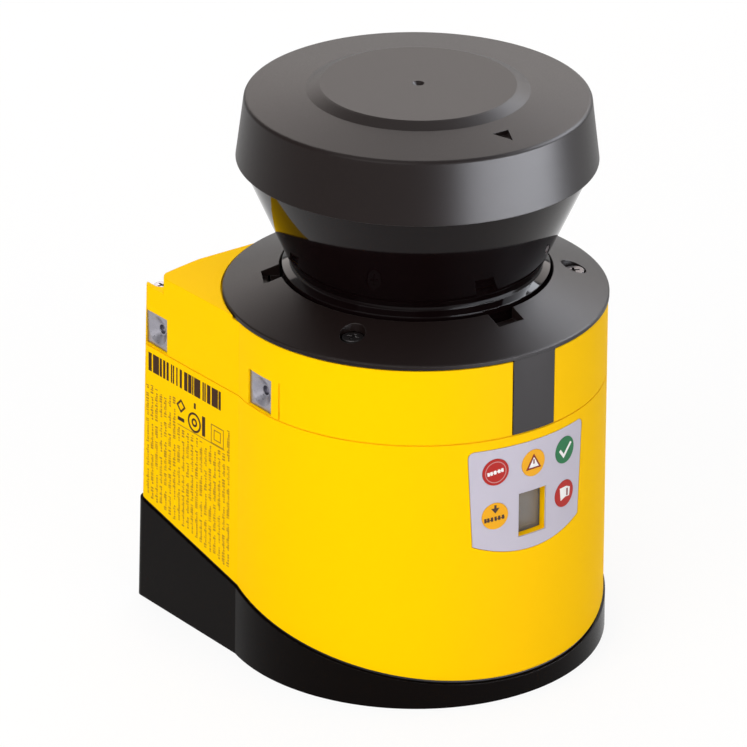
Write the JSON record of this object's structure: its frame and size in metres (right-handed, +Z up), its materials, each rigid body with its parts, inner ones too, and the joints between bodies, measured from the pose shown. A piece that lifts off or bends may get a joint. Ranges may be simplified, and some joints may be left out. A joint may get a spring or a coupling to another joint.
{
  "type": "safety laser scanner",
  "caption": "Compact safety laser scanner: wedge-shaped plug base, round-fronted yellow housing with indicator panel, dark conical optics cover and a round cap.",
  "frame": {"origin": "on the underside of the connection base, below the mirror's axis of rotation", "axes": "+Z up along the mirror's axis, -Y out of the rounded front with the indicator panel, +Y to the flat rear with the mounting threads, +X to the right of someone looking at the front along +Y"},
  "size_m": [0.102, 0.106, 0.152],
  "materials": {
    "black_plastic": "satin, near black",
    "dark_plastic": "matte",
    "yellow_housing": "satin",
    "seal_rubber": "matte",
    "seal_grey": "matte",
    "screw_steel": "bright zinc",
    "insert_steel": "satin",
    "brass": "turned",
    "circuit_board": "solder mask",
    "optics_dark": "polished, infrared window",
    "brown_black": "fine grain",
    "panel_grey": "satin film",
    "display_pane": "clear",
    "red_lamp": "satin",
    "amber_lamp": "satin",
    "green_lamp": "satin",
    "cast_frame": "die-cast",
    "turned_aluminium": "turned",
    "lens_glass": "polished",
    "mirror_glass": "polished",
    "bearing_steel": "ground",
    "core_steel": "stamped",
    "copper_coil": "enamelled wire",
    "magnet": "plain"
  },
  "bodies": {
    "scanner_body": {"connection_base": "black_plastic", "base_gasket": "seal_rubber", "base_screws": "screw_steel", "terminal_board": "circuit_board", "terminal_socket": "dark_plastic", "cable_gland": "dark_plastic", "gland_nut": "dark_plastic", "gland_seal": "seal_grey", "blanking_plug": "dark_plastic", "lower_housing": "yellow_housing", "mounting_inserts": "brass", "housing_gasket": "seal_rubber", "upper_housing": "yellow_housing", "housing_screws": "screw_steel", "side_inserts": "insert_steel", "corner_screws": "insert_steel", "main_board": "circuit_board", "board_standoffs": "brass", "main_plug": "dark_plastic", "board_link": "dark_plastic", "receiver_board": "circuit_board", "lens_barrel": "dark_plastic", "receiver_lens": "lens_glass", "laser_tube": "turned_aluminium", "laser_lens": "lens_glass", "laser_diode": "brass", "display_panel": "panel_grey", "display_window": "display_pane", "display_module": "dark_plastic", "indicator_board": "circuit_board", "stop_lamp": "red_lamp", "warning_lamp": "amber_lamp", "clear_lamp": "green_lamp", "cleaning_lamp": "amber_lamp", "service_lamp": "red_lamp", "optics_frame": "cast_frame", "frame_screws": "screw_steel", "cover_seal": "seal_rubber", "optics_cover": "optics_dark", "ring_plate": "brown_black", "ring_screws": "screw_steel", "head_cap": "brown_black", "motor_board": "circuit_board", "lower_bearing": "bearing_steel", "upper_bearing": "bearing_steel", "stator": "core_steel", "stator_coils": "copper_coil", "encoder_sensor": "dark_plastic"},
    "mirror_rotor": {"spindle": "bearing_steel", "mirror_carrier": "turned_aluminium", "scan_mirror": "mirror_glass", "rotor_bell": "core_steel", "rotor_magnets": "magnet", "encoder_disc": "core_steel"}
  },
  "joints": [
    {"name": "mirror_spin", "type": "hinge", "parent": "scanner_body", "child": "mirror_rotor", "pos_m": [0, 0, 0.116], "axis": [0, 0, 1], "continuous": true}
  ]
}
